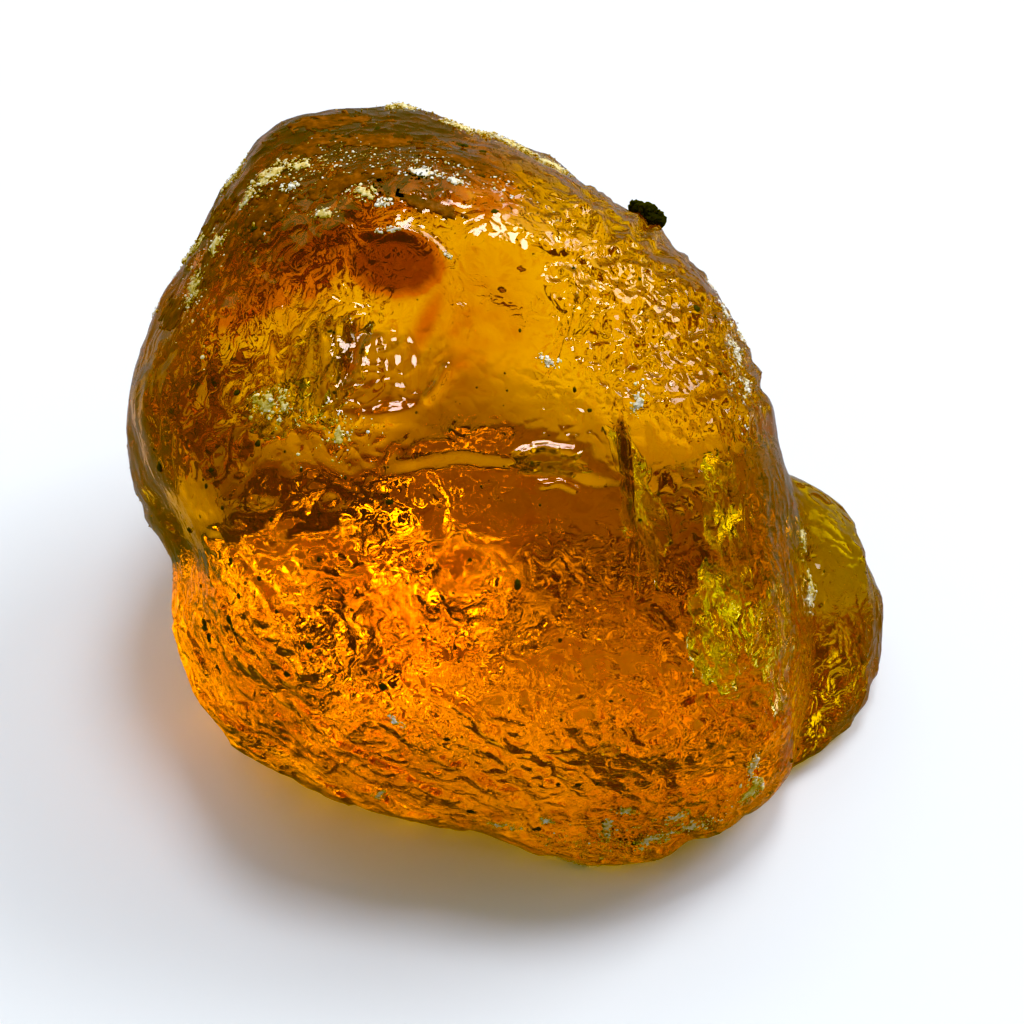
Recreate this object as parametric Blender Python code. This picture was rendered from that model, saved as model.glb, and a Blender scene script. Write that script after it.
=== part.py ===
"""Raw amber nugget, 32 mm across, with a crumb of dark soil stuck to its upper right edge.

The nugget is one solid.  Its surface is a radius worked out for every direction from its
middle: a boxy ellipsoid with an irregular outline, worn down by flat facets, with a few broad
hollows and swellings, a low lobe behind the right-hand rim and a flat underside to rest on.
Metres, +Z up.  The broad face looks along -Y and leans back.
"""
import math

import bmesh
import bpy
import numpy as np
from mathutils import noise, Vector

# ---- driving dimensions: millimetres and degrees ---------------------------------------
MM = 0.001
LEAN = 50.0          # the broad face leans back: its normal points this far above the horizon
CENTRE_Z = 8.2      # height of the nugget's middle above the resting plane
FRONT_DEPTH = 12.2   # middle to the crown of the broad face
BACK_DEPTH = 12.6    # middle to the back
ROUND_POWER = 2.35   # 2 is an ellipsoid, more is boxier
FACET_POWER = 34.0   # how crisp the edges between worn facets are
LOBE_POWER = 60.0    # how crisp the crease in front of the lobe is
NUGGET_DETAIL = 5    # icosphere subdivisions

# Outline of the broad face: (degrees anticlockwise from the right, radius)
OUTLINE = [
    (358, 13.2), (9.5, 12.5), (19, 12.7), (32, 12.5), (41, 12.7), (55.5, 12.9),
    (68.5, 13.2), (81.5, 14.1), (91, 14.9), (98, 15.8), (104, 16.9), (111, 18.3),
    (121, 17.4), (130.5, 16.4), (141, 15.7), (151, 16.1), (160, 16.2), (170, 15.2),
    (180, 14.5), (187.5, 13.5), (196, 13.3), (207, 14.2), (216, 14.5), (228.5, 14.7),
    (240, 14.3), (256, 13.9), (270, 14.2), (282, 15.6), (291.5, 17.0), (301.5, 17.9),
    (311, 18.1), (317, 17.6), (324.5, 16.3), (335.5, 15.1), (345, 14.3),
]

# Worn and fractured facets: (direction across, up and out of the broad face), distance
FACETS = [
    # broad face and rim
    ((0.06, 0.22, 1.0), 11.3),
    ((-0.10, -0.16, 1.0), 11.75),
    ((0.42, -0.02, 1.0), 12.6),
    ((-0.48, 0.16, 1.0), 12.9),
    ((0.30, 0.62, 0.80), 14.3),
    ((-0.38, 0.72, 0.75), 15.3),
    ((0.00, 0.98, 0.42), 15.0),
    ((-0.85, 0.35, 0.45), 14.7),
    ((-0.90, -0.25, 0.45), 13.3),
    ((-0.52, -0.62, 0.60), 13.9),
    ((-0.02, -0.72, 0.68), 13.9),
    ((0.55, -0.62, 0.60), 16.4),
    ((0.95, 0.10, 0.35), 13.3),
    ((0.80, 0.55, 0.30), 13.1),
    # back and underside
    ((0.10, 0.15, -1.0), 11.6),
    ((-0.55, 0.30, -0.80), 12.6),
    ((0.60, 0.40, -0.75), 12.3),
    ((-0.25, -0.55, -0.90), 12.6),
    ((0.35, -0.45, -0.85), 13.6),
    ((-0.80, -0.35, -0.55), 12.7),
    ((-0.20, 0.90, -0.50), 14.2),
    ((0.40, -0.85, -0.30), 15.3),
    ((-0.55, -0.80, -0.25), 13.6),
    ((-0.95, 0.25, -0.25), 14.2),
]

# Low lobe behind the right-hand rim: middle, half-axes (across, up, out)
LOBE_MIDDLE = (10.5, -5.8, -3.0)
LOBE_HALF = (6.55, 7.1, 5.6)

# Broad hollows (-) and swellings (+): direction, half-angle in degrees, height
SWELLS = [
    ((-4.4, 6.6, 10.0), 11, -1.1),     # the hollow window, upper left of the face
    ((2.4, 3.4, 10.5), 13, -0.35),
    ((-1.0, -3.6, 11.0), 10, 0.45),
    ((-6.0, -5.0, 10.0), 12, 0.55),
    ((4.0, -9.0, 9.5), 11, 0.35),
    ((-11.5, -2.2, 4.0), 9, -0.7),     # the nick on the left
    ((-12.0, 3.5, 5.5), 14, 0.4),
    ((9.0, 6.5, 6.5), 12, 0.3),
    ((-3.0, 14.0, 2.0), 12, 0.3),
    ((5.0, 3.0, -10.0), 16, -0.9),
    ((-6.0, -2.0, -10.0), 14, 0.6),
    ((2.0, 11.0, -7.0), 13, -0.7),
    ((-10.0, 6.0, -7.0), 12, 0.5),
]

CRUMB_AT = (6.9, 11.4, 1.2)   # direction of the soil crumb (across, up, out)
CRUMB_RISE = 0.55             # its middle above the nugget's surface
CRUMB_RADIUS = 0.80
CRUMB_LUMPS = 0.30            # depth of its lumps, as a part of its radius
CRUMB_GAP = 0.25              # between the crumb's foot and the nugget
CRUMB_DETAIL = 3

# ---- frame of the broad face -----------------------------------------------------------
_lean = math.radians(LEAN)
FACE = np.array([
    [1.0, 0.0, 0.0],                            # across
    [0.0, math.sin(_lean), math.cos(_lean)],    # up
    [0.0, -math.cos(_lean), math.sin(_lean)],   # out
])
MIDDLE = np.array([0.0, 0.0, CENTRE_Z])


def outline_radius(theta):
    """Radius of the outline at angles in radians: a closed smooth curve through OUTLINE."""
    table = sorted((a % 360.0, r) for a, r in OUTLINE)
    angles = np.array([table[-1][0] - 360] + [a for a, _ in table] + [table[0][0] + 360, table[1][0] + 360])
    radii = np.array([table[-1][1]] + [r for _, r in table] + [table[0][1], table[1][1]])
    slopes = np.gradient(radii, angles)
    at = np.degrees(theta) % 360.0
    at = np.where(at < angles[0], at + 360, at)
    i = np.clip(np.searchsorted(angles, at, side="right") - 1, 0, len(angles) - 2)
    step = angles[i + 1] - angles[i]
    t = (at - angles[i]) / step
    return ((2 * t**3 - 3 * t**2 + 1) * radii[i] + (t**3 - 2 * t**2 + t) * step * slopes[i]
            + (3 * t**2 - 2 * t**3) * radii[i + 1] + (t**3 - t**2) * step * slopes[i + 1])


def nugget_radius(world):
    """Distance in mm from the middle to the surface, along unit directions (n, 3)."""
    d = world @ FACE.T
    edge = outline_radius(np.arctan2(d[:, 1], d[:, 0]))
    depth = np.where(d[:, 2] > 0, FRONT_DEPTH, BACK_DEPTH)
    body = ((np.hypot(d[:, 0], d[:, 1]) / edge) ** ROUND_POWER
            + (np.abs(d[:, 2]) / depth) ** ROUND_POWER) ** (-1 / ROUND_POWER)
    total = body ** -FACET_POWER
    for normal, distance in FACETS:
        n = np.array(normal) / np.linalg.norm(normal)
        total += (np.maximum(d @ n, 1e-6) / distance) ** FACET_POWER
    r = total ** (-1 / FACET_POWER)
    for at, half_angle, height in SWELLS:
        a = np.array(at) / np.linalg.norm(at)
        angle = np.degrees(np.arccos(np.clip(d @ a, -1, 1)))
        r = r + height * np.exp(-((angle / half_angle) ** 2))
    # the lobe: far side of an ellipsoid, joined by a crisp smooth maximum
    m, q = np.array(LOBE_MIDDLE) / LOBE_HALF, d / LOBE_HALF
    a, b, k = (q * q).sum(1), q @ m, m @ m - 1
    root = b * b - a * k
    lobe = np.where(root > 0, (b + np.sqrt(np.maximum(root, 0))) / a, 0)
    r = (r ** LOBE_POWER + np.maximum(lobe, 0) ** LOBE_POWER) ** (1 / LOBE_POWER)
    # flat underside
    return np.minimum(r, CENTRE_Z / np.maximum(-world[:, 2], 1e-6))


def unit(points):
    return points / np.linalg.norm(points, axis=1)[:, None]


def new_sphere(name, subdivisions, place, colour, roughness, metallic, transmission=0.0):
    """An icosphere whose unit directions are moved by place(), as one named object."""
    bm = bmesh.new()
    bmesh.ops.create_icosphere(bm, subdivisions=subdivisions, radius=1.0)
    moved = place(unit(np.array([v.co[:] for v in bm.verts])))
    for vert, point in zip(bm.verts, moved):
        vert.co = Vector(point) * MM
    bmesh.ops.recalc_face_normals(bm, faces=bm.faces)
    mesh = bpy.data.meshes.new(name)
    bm.to_mesh(mesh)
    bm.free()
    material = bpy.data.materials.new(name + "_material")
    material.use_nodes = True
    shader = material.node_tree.nodes["Principled BSDF"]
    shader.inputs["Base Color"].default_value = (*colour, 1.0)
    shader.inputs["Roughness"].default_value = roughness
    shader.inputs["Metallic"].default_value = metallic
    shader.inputs["Transmission Weight"].default_value = transmission
    mesh.materials.append(material)
    obj = bpy.data.objects.new(name, mesh)
    collection.objects.link(obj)
    return obj


def nugget(directions):
    return MIDDLE + directions * nugget_radius(directions)[:, None]


def crumb(directions):
    """A lumpy ball whose foot follows the nugget's surface at CRUMB_GAP."""
    out = unit(np.array([CRUMB_AT]) @ FACE)[0]
    middle = out * (nugget_radius(out[None])[0] + CRUMB_RISE)
    lump = np.array([noise.noise(Vector(d) * 1.7 + Vector((3.1, 0.4, 7.7))) for d in directions])
    points = middle + directions * (CRUMB_RADIUS * (1 + CRUMB_LUMPS * 2 * lump))[:, None]
    radius = np.linalg.norm(points, axis=1)
    toward = points / radius[:, None]
    return MIDDLE + toward * np.maximum(radius, nugget_radius(toward) + CRUMB_GAP)[:, None]


for old in list(bpy.data.objects):
    bpy.data.objects.remove(old, do_unlink=True)

collection = bpy.data.collections.new("raw_amber")
bpy.context.scene.collection.children.link(collection)

new_sphere("amber_nugget", NUGGET_DETAIL, nugget, (0.68, 0.27, 0.015), 0.12, 0.0, 1.0)
new_sphere("soil_crumb", CRUMB_DETAIL, crumb, (0.018, 0.013, 0.010), 0.95, 0.0)
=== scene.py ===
"""Raw amber nugget: relief, crusts, fractures, specks and a soil crumb around the CAD frame."""
import math

import bmesh
import bpy
import numpy as np
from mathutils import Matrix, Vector


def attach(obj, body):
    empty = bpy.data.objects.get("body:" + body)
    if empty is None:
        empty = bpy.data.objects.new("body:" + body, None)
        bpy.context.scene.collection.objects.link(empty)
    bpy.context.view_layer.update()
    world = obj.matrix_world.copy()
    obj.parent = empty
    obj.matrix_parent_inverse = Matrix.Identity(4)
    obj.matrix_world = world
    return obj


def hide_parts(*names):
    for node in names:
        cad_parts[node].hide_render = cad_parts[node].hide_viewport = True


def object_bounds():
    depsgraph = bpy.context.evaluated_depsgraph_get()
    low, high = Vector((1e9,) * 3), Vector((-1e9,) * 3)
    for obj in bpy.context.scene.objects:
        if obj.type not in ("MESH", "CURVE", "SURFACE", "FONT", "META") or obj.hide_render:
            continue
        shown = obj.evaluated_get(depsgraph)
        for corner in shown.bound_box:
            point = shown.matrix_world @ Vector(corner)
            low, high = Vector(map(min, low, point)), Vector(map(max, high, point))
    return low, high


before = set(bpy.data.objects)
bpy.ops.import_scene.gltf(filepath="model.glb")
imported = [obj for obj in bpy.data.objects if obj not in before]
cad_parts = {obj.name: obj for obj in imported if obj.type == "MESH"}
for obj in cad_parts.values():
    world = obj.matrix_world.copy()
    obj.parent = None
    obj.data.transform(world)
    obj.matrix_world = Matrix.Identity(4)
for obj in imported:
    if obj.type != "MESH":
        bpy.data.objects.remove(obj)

CAD_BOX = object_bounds()
MM = 0.001

# ======================================================================================
# The nugget's form, the same driving dimensions as the CAD (millimetres and degrees)
# ======================================================================================
LEAN = 50.0
CENTRE_Z = 8.2
FRONT_DEPTH = 12.2
BACK_DEPTH = 12.6
ROUND_POWER = 2.35
FACET_POWER = 34.0
LOBE_POWER = 60.0
OUTLINE = [
    (358, 13.2), (9.5, 12.5), (19, 12.7), (32, 12.5), (41, 12.7), (55.5, 12.9),
    (68.5, 13.2), (81.5, 14.1), (91, 14.9), (98, 15.8), (104, 16.9), (111, 18.3),
    (121, 17.4), (130.5, 16.4), (141, 15.7), (151, 16.1), (160, 16.2), (170, 15.2),
    (180, 14.5), (187.5, 13.5), (196, 13.3), (207, 14.2), (216, 14.5), (228.5, 14.7),
    (240, 14.3), (256, 13.9), (270, 14.2), (282, 15.6), (291.5, 17.0), (301.5, 17.9),
    (311, 18.1), (317, 17.6), (324.5, 16.3), (335.5, 15.1), (345, 14.3),
]
FACETS = [
    ((0.06, 0.22, 1.0), 11.3), ((-0.10, -0.16, 1.0), 11.75), ((0.42, -0.02, 1.0), 12.6),
    ((-0.48, 0.16, 1.0), 12.9), ((0.30, 0.62, 0.80), 14.3), ((-0.38, 0.72, 0.75), 15.3),
    ((0.00, 0.98, 0.42), 15.0), ((-0.85, 0.35, 0.45), 14.7), ((-0.90, -0.25, 0.45), 13.3),
    ((-0.52, -0.62, 0.60), 13.9), ((-0.02, -0.72, 0.68), 13.9), ((0.55, -0.62, 0.60), 16.4),
    ((0.95, 0.10, 0.35), 13.3), ((0.80, 0.55, 0.30), 13.1), ((0.10, 0.15, -1.0), 11.6),
    ((-0.55, 0.30, -0.80), 12.6), ((0.60, 0.40, -0.75), 12.3), ((-0.25, -0.55, -0.90), 12.6),
    ((0.35, -0.45, -0.85), 13.6), ((-0.80, -0.35, -0.55), 12.7), ((-0.20, 0.90, -0.50), 14.2),
    ((0.40, -0.85, -0.30), 15.3), ((-0.55, -0.80, -0.25), 13.6), ((-0.95, 0.25, -0.25), 14.2),
]
LOBE_MIDDLE = (10.5, -5.8, -3.0)
LOBE_HALF = (6.55, 7.1, 5.6)
SWELLS = [
    ((-4.4, 6.6, 10.0), 11, -1.1), ((2.4, 3.4, 10.5), 13, -0.35), ((-1.0, -3.6, 11.0), 10, 0.45),
    ((-6.0, -5.0, 10.0), 12, 0.55), ((4.0, -9.0, 9.5), 11, 0.35), ((-11.5, -2.2, 4.0), 9, -0.7),
    ((-12.0, 3.5, 5.5), 14, 0.4), ((9.0, 6.5, 6.5), 12, 0.3), ((-3.0, 14.0, 2.0), 12, 0.3),
    ((5.0, 3.0, -10.0), 16, -0.9), ((-6.0, -2.0, -10.0), 14, 0.6), ((2.0, 11.0, -7.0), 13, -0.7),
    ((-10.0, 6.0, -7.0), 12, 0.5),
]
CRUMB_AT = (6.9, 11.4, 1.2)

_lean = math.radians(LEAN)
FACE = np.array([
    [1.0, 0.0, 0.0],                            # across the broad face
    [0.0, math.sin(_lean), math.cos(_lean)],    # up the broad face
    [0.0, -math.cos(_lean), math.sin(_lean)],   # out of the broad face
])
MIDDLE = np.array([0.0, 0.0, CENTRE_Z])

# The camera looks straight down the broad face's own axis
CAMERA_DISTANCE = 142.0
CAMERA_AIM = (1.33, -0.92)
CAMERA_LENS = 120.0
PIXELS = 1024.0
FOCAL = CAMERA_LENS / 36.0 * PIXELS


def unit(points):
    points = np.asarray(points, float)
    return points / np.linalg.norm(points, axis=-1, keepdims=True)


def smooth(low, high, x):
    t = np.clip((x - low) / (high - low), 0, 1)
    return t * t * (3 - 2 * t)


# ---- repeatable noise ------------------------------------------------------------------
def scramble(cell, seed):
    cell = cell.astype(np.int64)
    h = (cell[..., 0] * 73856093) ^ (cell[..., 1] * 19349663) ^ (cell[..., 2] * 83492791) ^ (seed * 2654435761)
    h = (h ^ (h >> 13)) * 1274126177 & 0xFFFFFFFF
    h = (h ^ (h >> 16)) * 2246822519 & 0xFFFFFFFF
    return h ^ (h >> 13)


def noise3(p, seed=0):
    """Gradient noise, about -1 to 1, at points (n, 3)."""
    cell = np.floor(p)
    f = p - cell
    u = f * f * f * (f * (f * 6 - 15) + 10)
    out = 0
    for corner in np.ndindex(2, 2, 2):
        corner = np.array(corner)
        h = scramble(cell + corner, seed)
        g = np.stack([((h >> s) & 255) / 127.5 - 1 for s in (0, 8, 16)], -1)
        out = out + np.prod(np.where(corner, u, 1 - u), axis=-1) * (g * (f - corner)).sum(-1)
    return out


def fractal(p, octaves=4, seed=0, gain=0.5):
    out, amp = 0, 1.0
    for o in range(octaves):
        out = out + amp * noise3(p * 2.03**o, seed + o)
        amp *= gain
    return out


def cells(p, seed=0):
    """Distances to the nearest and second nearest scattered point."""
    cell = np.floor(p)
    f = p - cell
    first = np.full(p.shape[:-1], 9.0)
    second = first.copy()
    for corner in np.ndindex(3, 3, 3):
        corner = np.array(corner) - 1
        h = scramble(cell + corner, seed)
        j = np.stack([((h >> s) & 1023) / 1023 for s in (0, 10, 20)], -1)
        away = np.linalg.norm(corner + j - f, axis=-1)
        second = np.minimum(second, np.maximum(first, away))
        first = np.minimum(first, away)
    return first, second


def flat3(x, y, z=0.0):
    return np.stack([x, y, np.full_like(x, z)], -1)


# ---- form ------------------------------------------------------------------------------
def outline_radius(theta):
    table = sorted((a % 360.0, r) for a, r in OUTLINE)
    angles = np.array([table[-1][0] - 360] + [a for a, _ in table] + [table[0][0] + 360, table[1][0] + 360])
    radii = np.array([table[-1][1]] + [r for _, r in table] + [table[0][1], table[1][1]])
    slopes = np.gradient(radii, angles)
    at = np.degrees(theta) % 360.0
    at = np.where(at < angles[0], at + 360, at)
    i = np.clip(np.searchsorted(angles, at, side="right") - 1, 0, len(angles) - 2)
    step = angles[i + 1] - angles[i]
    t = (at - angles[i]) / step
    return ((2 * t**3 - 3 * t**2 + 1) * radii[i] + (t**3 - 2 * t**2 + t) * step * slopes[i]
            + (3 * t**2 - 2 * t**3) * radii[i + 1] + (t**3 - t**2) * step * slopes[i + 1])


def form_radius(d):
    """Radius in mm without relief, along unit directions (n, 3) given across, up, out."""
    edge = outline_radius(np.arctan2(d[:, 1], d[:, 0]))
    depth = np.where(d[:, 2] > 0, FRONT_DEPTH, BACK_DEPTH)
    body = ((np.hypot(d[:, 0], d[:, 1]) / edge) ** ROUND_POWER
            + (np.abs(d[:, 2]) / depth) ** ROUND_POWER) ** (-1 / ROUND_POWER)
    total = body ** -FACET_POWER
    for normal, distance in FACETS:
        total += (np.maximum(d @ unit(normal), 1e-6) / distance) ** FACET_POWER
    r = total ** (-1 / FACET_POWER)
    for at, half_angle, height in SWELLS:
        angle = np.degrees(np.arccos(np.clip(d @ unit(at), -1, 1)))
        r = r + height * np.exp(-((angle / half_angle) ** 2))
    m, q = np.array(LOBE_MIDDLE) / LOBE_HALF, d / LOBE_HALF
    a, b, k = (q * q).sum(1), q @ m, m @ m - 1
    root = b * b - a * k
    lobe = np.where(root > 0, (b + np.sqrt(np.maximum(root, 0))) / a, 0)
    return (r ** LOBE_POWER + np.maximum(lobe, 0) ** LOBE_POWER) ** (1 / LOBE_POWER)


def seen_at(p):
    """Where points (n, 3), in the face's frame in mm, lie in the camera's 1024-pixel frame."""
    s = FOCAL / (CAMERA_DISTANCE - p[:, 2])
    return 512 + s * (p[:, 0] - CAMERA_AIM[0]), 512 - s * (p[:, 1] - CAMERA_AIM[1])


def facing(x, y, radius=form_radius):
    """Unit directions of the face's points seen at x, y."""
    x, y = np.atleast_1d(np.asarray(x, float)), np.atleast_1d(np.asarray(y, float))
    w = np.full(x.shape, 9.0)
    for _ in range(14):
        s = FOCAL / (CAMERA_DISTANCE - w)
        d = unit(np.stack([(x - 512) / s + CAMERA_AIM[0], (512 - y) / s + CAMERA_AIM[1], w], -1))
        w = np.clip(0.45 * w + 0.55 * radius(d) * d[:, 2], 0.3, 13.5)
    return d


def blob(x, y, cx, cy, rx, ry, turn=0.0, power=2.0):
    """1 in the middle of an ellipse, falling to 0; turn is clockwise in the frame, in degrees."""
    c, s = math.cos(math.radians(turn)), math.sin(math.radians(turn))
    a, b = ((x - cx) * c + (y - cy) * s) / rx, (-(x - cx) * s + (y - cy) * c) / ry
    return np.exp(-((a * a + b * b) ** (power / 2)))


def from_path(x, y, path):
    """Distance to a polyline, and how far along it the nearest point is, 0 to 1."""
    best, along = np.full(x.shape, 1e9), np.zeros(x.shape)
    for i, ((x0, y0), (x1, y1)) in enumerate(zip(path, path[1:])):
        ex, ey = x1 - x0, y1 - y0
        t = np.clip(((x - x0) * ex + (y - y0) * ey) / (ex * ex + ey * ey), 0, 1)
        away = np.hypot(x - x0 - t * ex, y - y0 - t * ey)
        along = np.where(away < best, (i + t) / (len(path) - 1), along)
        best = np.minimum(best, away)
    return best, along


def stripes(x, y, turn, long, short, seed, octaves=2):
    """Noise drawn out along a direction turned clockwise in the frame."""
    c, s = math.cos(math.radians(turn)), math.sin(math.radians(turn))
    return fractal(flat3((x * c + y * s) / long, (-x * s + y * c) / short, seed * 3.7), octaves, seed)


def shells(x, y, turn, long, short, seed):
    """Overlapping chips: gentle treads and steep risers, drawn out along a direction turned clockwise."""
    c, s = math.cos(math.radians(turn)), math.sin(math.radians(turn))
    a, b = x * c + y * s, -x * s + y * c
    u = b / short + 1.5 * noise3(flat3(a / long, b / (2.2 * short), seed * 1.7), seed) + 0.5 * noise3(flat3(a / (0.4 * long), b / short, seed * 2.9), seed + 1)
    saw = u - np.floor(u)
    level = scramble(np.stack([np.floor(u), np.floor(a / (1.4 * long) + 3.3 * np.floor(u) * 0.37), u * 0], -1), seed) % 1000 / 1000
    return (0.35 + 0.65 * level) * (smooth(0, 0.14, saw) - saw) * 1.25


# ======================================================================================
# Relief, in mm, on top of the form
# ======================================================================================
def zones(p, d):
    """Masks of the surface's characters."""
    x, y = seen_at(p)
    front = smooth(-0.15, 0.15, d[:, 2])
    z = {"x": x, "y": y, "front": front}
    wander = fractal(p / 1.6, 3, 71)
    z["bubbly"] = front * smooth(0.35, 0.75, blob(x, y, 655, 305, 110, 165, -38, 4) + 0.25 * wander)
    z["window"] = front * blob(x, y, 368, 322, 88, 92, -20, 4)
    z["crown"] = front * smooth(0.3, 0.7, blob(x, y, 330, 150, 150, 58, -18, 4) + 0.3 * wander)
    z["left_edge"] = front * smooth(0.3, 0.7, blob(x, y, 185, 290, 46, 130, 20, 4) + 0.3 * wander)
    z["lower_left"] = front * blob(x, y, 245, 660, 80, 105, -35, 4)
    z["lower"] = front * blob(x, y, 395, 765, 190, 62, 14, 4)
    z["foot"] = front * smooth(0.3, 0.7, blob(x, y, 640, 830, 150, 40, -6, 4) + 0.3 * wander)
    z["foil"] = front * blob(x, y, 762, 662, 52, 72, 10, 4)
    z["right"] = front * blob(x, y, 735, 520, 70, 110, 0, 4)
    z["right_edge"] = front * smooth(0.3, 0.7, blob(x, y, 742, 345, 26, 70, -22, 4) + 0.3 * wander)
    z["calm"] = front * blob(x, y, 520, 390, 95, 115, 20, 4)
    z["band"] = front * blob(x, y, 540, 545, 130, 95, 0, 4)
    z["glow"] = front * blob(x, y, 410, 600, 95, 80, 20, 4)
    return z


PITS = [  # x, y, radius in frame pixels, depth in mm
    (579, 225, 15, 0.20), (607, 259, 10, 0.16), (689, 328, 13, 0.20), (675, 351, 11, 0.16),
    (560, 262, 9, 0.12), (640, 232, 12, 0.15), (628, 290, 9, 0.12), (663, 288, 8, 0.12),
    (702, 372, 10, 0.14), (598, 300, 8, 0.10), (716, 346, 8, 0.12), (545, 212, 8, 0.10),
    (650, 372, 9, 0.12), (725, 404, 8, 0.10), (517, 790, 14, 0.14), (286, 664, 15, 0.10),
    (461, 300, 7, 0.07), (420, 560, 8, 0.06), (700, 470, 6, 0.05), (612, 560, 5, 0.05),
    (330, 500, 7, 0.06), (236, 470, 7, 0.07), (215, 540, 8, 0.08),
]
# (frame pixels; the visual relief only)
RIDGES = [  # path, half-width in pixels, height in mm (grooves are negative)
    (((536, 237), (546, 244), (552, 250), (556, 258)), 3.5, 0.10),
    (((634, 348), (645, 334), (661, 323), (672, 312)), 4.0, 0.11),
    (((386, 333), (363, 339), (357, 365), (346, 385)), 6.0, -0.16),
    (((357, 236), (399, 237), (427, 242), (456, 265)), 4.5, 0.10),
    (((448, 365), (440, 384), (425, 404)), 4.5, 0.12),
    (((592, 690), (598, 716), (601, 731), (606, 748)), 3.6, 0.13),
    (((625, 714), (634, 729), (642, 743)), 3.6, 0.12),
    (((524, 691), (518, 699), (526, 706), (535, 702), (532, 692)), 3.2, 0.09),
    (((545, 722), (560, 733), (556, 748), (575, 744), (593, 728)), 3.2, 0.08),
    (((317, 744), (352, 764), (389, 789)), 4.2, 0.14),
    (((387, 719), (412, 732), (437, 751)), 4.0, 0.13),
    (((262, 700), (300, 734), (330, 770)), 4.0, 0.10),
    (((430, 690), (470, 712), (500, 745)), 4.0, 0.09),
    (((515, 455), (541, 447), (570, 451), (588, 466)), 3.6, 0.07),
    (((538, 486), (560, 482), (580, 491)), 3.6, 0.13),
    (((612, 470), (640, 480), (655, 500)), 4.0, -0.06),
    (((420, 470), (445, 500), (440, 540)), 5.0, 0.06),
    (((688, 610), (716, 600), (742, 616), (756, 642)), 4.5, 0.10),
    (((736, 700), (762, 690), (790, 700)), 4.5, 0.09),
    (((240, 610), (262, 622), (290, 618)), 4.0, 0.06),
    (((655, 600), (690, 640), (720, 690)), 5.0, 0.07),
]


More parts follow.
